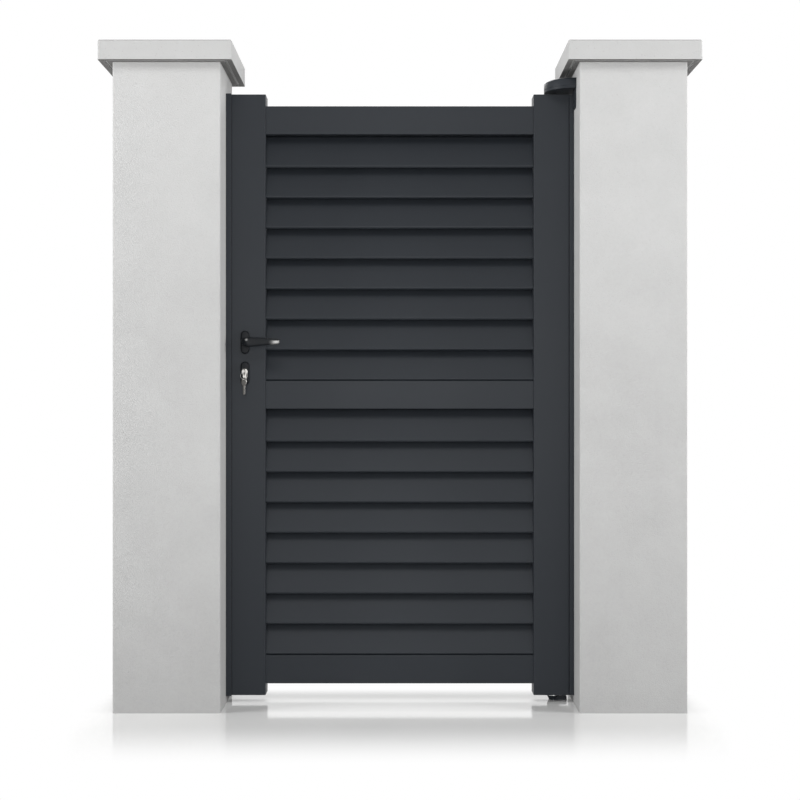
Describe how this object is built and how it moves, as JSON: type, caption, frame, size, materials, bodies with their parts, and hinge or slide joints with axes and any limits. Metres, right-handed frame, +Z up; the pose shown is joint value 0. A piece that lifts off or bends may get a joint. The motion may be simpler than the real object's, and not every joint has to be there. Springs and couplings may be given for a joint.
{
  "type": "aluminium pedestrian gate between masonry pillars",
  "caption": "Louvred aluminium pedestrian gate leaf with lever lock, hung between two rendered masonry pillars with flat caps.",
  "frame": {"origin": "on the ground, midway between the pillars and at their mid-depth", "axes": "+Z up, +X from the lock side to the hinge side, -Y towards the street"},
  "size_m": [1.67, 0.37, 1.867],
  "materials": {
    "render": "fine-grained render",
    "cap_concrete": "cast concrete",
    "gate_coating": "fine textured anthracite powder coating",
    "handle_coating": "satin black coating",
    "bright_steel": "zinc plated",
    "nickel": "nickel plated",
    "seal_rubber": "matt"
  },
  "bodies": {
    "posts": {"left_pillar": "render", "left_pillar_cap": "cap_concrete", "right_pillar": "render", "right_pillar_cap": "cap_concrete", "strike_profile": "gate_coating", "strike_seal": "seal_rubber", "hinge_bracket": "gate_coating", "hinge_pin": "bright_steel", "hinge_cover": "gate_coating", "pivot_shoe": "gate_coating", "pivot_pin": "bright_steel"},
    "leaf": {"lock_stile": "gate_coating", "hinge_stile": "gate_coating", "lock_stile_plugs": "gate_coating", "top_pivot_plug": "gate_coating", "bottom_pivot_plug": "gate_coating", "top_rail": "gate_coating", "middle_rail": "gate_coating", "bottom_rail": "gate_coating", "upper_slat_1": "gate_coating", "upper_slat_2": "gate_coating", "upper_slat_3": "gate_coating", "upper_slat_4": "gate_coating", "upper_slat_5": "gate_coating", "upper_slat_6": "gate_coating", "upper_slat_7": "gate_coating", "upper_slat_8": "gate_coating", "lower_slat_1": "gate_coating", "lower_slat_2": "gate_coating", "lower_slat_3": "gate_coating", "lower_slat_4": "gate_coating", "lower_slat_5": "gate_coating", "lower_slat_6": "gate_coating", "lower_slat_7": "gate_coating", "lower_slat_8": "gate_coating", "lock_case": "bright_steel", "lock_bolts": "bright_steel", "front_handle_rose": "handle_coating", "back_handle_rose": "handle_coating", "front_cylinder_rose": "handle_coating", "back_cylinder_rose": "handle_coating", "lock_cylinder": "nickel"},
    "levers": {"front_lever": "handle_coating", "back_lever": "handle_coating", "spindle": "bright_steel"},
    "key": {"cylinder_plug": "nickel", "key": "nickel", "key_ring": "nickel", "hanging_key": "nickel"}
  },
  "joints": [
    {"name": "gate_swing", "type": "hinge", "parent": "posts", "child": "leaf", "pos_m": [0.447, 0.055, 0], "axis": [0, 0, -1], "range_deg": [0, 90]},
    {"name": "lever_press", "type": "hinge", "parent": "leaf", "child": "levers", "pos_m": [-0.446, 0.035, 1.038], "axis": [0, 1, 0], "range_deg": [0, 40], "stiffness_Nm_per_rad": 1.5, "springref_deg": -28.65},
    {"name": "key_turn", "type": "hinge", "parent": "leaf", "child": "key", "pos_m": [-0.446, 0, 0.953], "axis": [0, -1, 0], "range_deg": [0, 180]}
  ]
}
